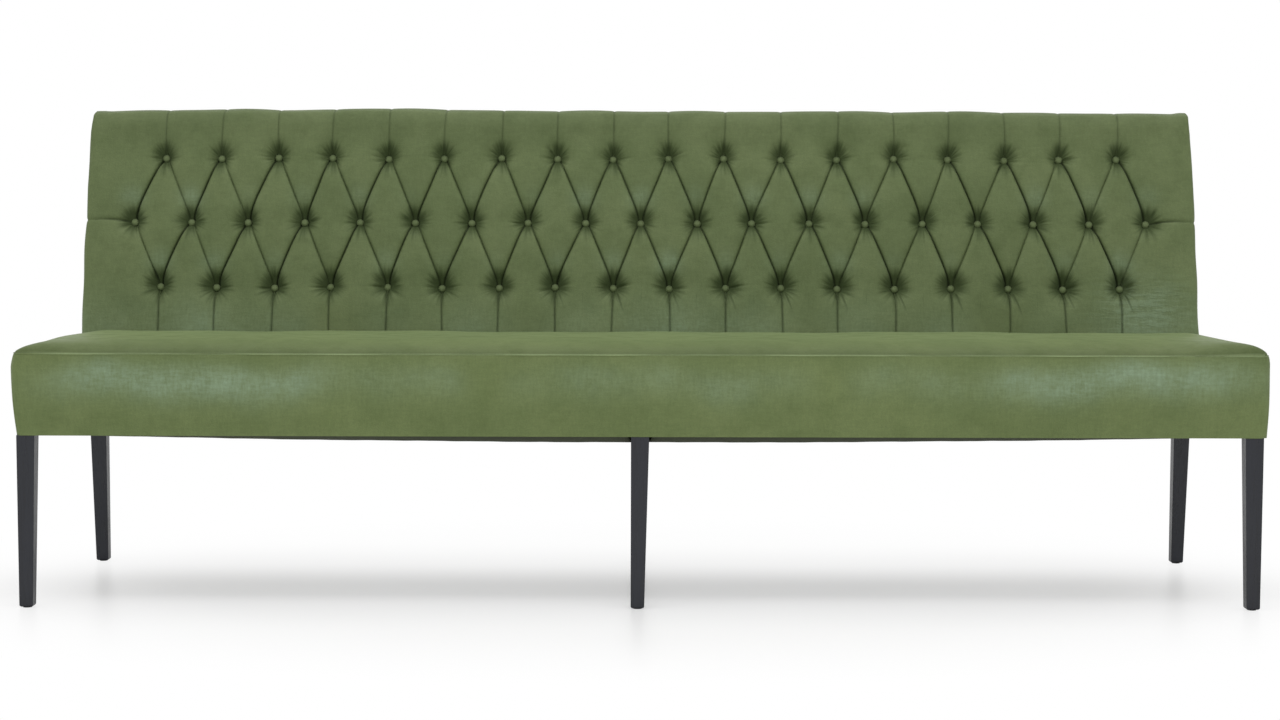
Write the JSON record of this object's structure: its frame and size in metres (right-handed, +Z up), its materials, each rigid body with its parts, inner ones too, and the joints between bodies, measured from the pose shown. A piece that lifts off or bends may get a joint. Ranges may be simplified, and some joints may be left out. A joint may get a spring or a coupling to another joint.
{
  "type": "kitchen bench",
  "caption": "Long upholstered kitchen bench with a deep-buttoned reclined back, a crowned box seat and slim tapered legs, for seating several people at a table.",
  "frame": {"origin": "on the floor, under the middle of the bench's outer box", "axes": "+X along the bench to the sitter's left, +Y from the front edge to the back, +Z up"},
  "size_m": [2.4, 0.6551, 0.9847],
  "materials": {
    "leather": "waxed, slightly worn",
    "leg_wood": "black stain, satin",
    "frame_wood": "planed",
    "board": "bare board",
    "foam": "foam",
    "webbing": "elastic web",
    "dust_cloth": "black lining cloth",
    "glide_plastic": "matte"
  },
  "bodies": {
    "root": {"back_buttoned_cover": "leather", "back_foam": "foam", "back_lower_rails": "frame_wood", "back_post_inner_left": "frame_wood", "back_post_inner_right": "frame_wood", "back_post_left": "frame_wood", "back_post_right": "frame_wood", "back_rear_panel": "leather", "back_roll_cover": "leather", "back_side_panel_left": "leather", "back_side_panel_right": "leather", "back_top_pad": "foam", "back_top_rail": "frame_wood", "corner_blocks": "frame_wood", "dust_cover": "dust_cloth", "foot_glides": "glide_plastic", "leg_front_centre": "leg_wood", "leg_front_left": "leg_wood", "leg_front_right": "leg_wood", "leg_rear_centre": "leg_wood", "leg_rear_left": "leg_wood", "leg_rear_right": "leg_wood", "rear_lining_board": "board", "seat_border_padding": "foam", "seat_border_panel": "leather", "seat_cross_rail_centre": "frame_wood", "seat_cross_rail_left": "frame_wood", "seat_cross_rail_right": "frame_wood", "seat_foam_core": "foam", "seat_front_rail": "frame_wood", "seat_rear_rail": "frame_wood", "seat_side_rail_left": "frame_wood", "seat_side_rail_right": "frame_wood", "seat_top_panel": "leather", "seat_topper": "foam", "seat_webbing": "webbing", "tuft_buttons": "leather", "tufting_board": "board"}
  },
  "joints": []
}
